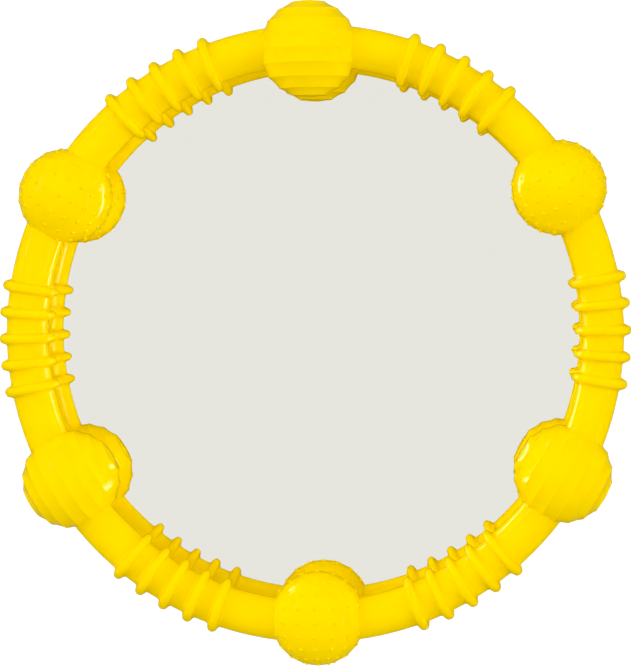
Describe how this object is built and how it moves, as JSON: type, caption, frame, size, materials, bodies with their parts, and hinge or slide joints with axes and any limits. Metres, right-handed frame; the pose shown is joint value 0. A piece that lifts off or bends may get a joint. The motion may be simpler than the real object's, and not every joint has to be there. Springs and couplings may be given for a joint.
{
  "type": "juggling ring",
  "caption": "Chunky rubber toss-and-catch ring: ridged and nubbed balls alternate with ribbed grips on a closed inner hoop.",
  "frame": {"origin": "centre of the ring, on the plane that its balls rest on", "axes": "+Z along the ring's axis, away from the surface it lies on; +Y towards the 12 o'clock ball; +X towards the 3 o'clock grip"},
  "size_m": [0.303, 0.319, 0.0475],
  "materials": {
    "ball_rubber": "semi-gloss moulded yellow rubber, ridged or nubbed",
    "grip_rubber": "semi-gloss moulded yellow rubber with ribs",
    "hoop_plastic": "natural extruded plastic tube",
    "joiner_aluminium": "drawn rod",
    "pin_steel": "ground dowel pin"
  },
  "bodies": {
    "root": {"hoop_tube": "hoop_plastic", "hoop_joiner": "joiner_aluminium", "joiner_pins": "pin_steel", "ridged_ball_12": "ball_rubber", "nubbed_ball_2": "ball_rubber", "ridged_ball_4": "ball_rubber", "nubbed_ball_6": "ball_rubber", "ridged_ball_8": "ball_rubber", "nubbed_ball_10": "ball_rubber", "ribbed_grip_1": "grip_rubber", "ribbed_grip_3": "grip_rubber", "ribbed_grip_5": "grip_rubber", "ribbed_grip_7": "grip_rubber", "ribbed_grip_9": "grip_rubber", "ribbed_grip_11": "grip_rubber"}
  },
  "joints": []
}
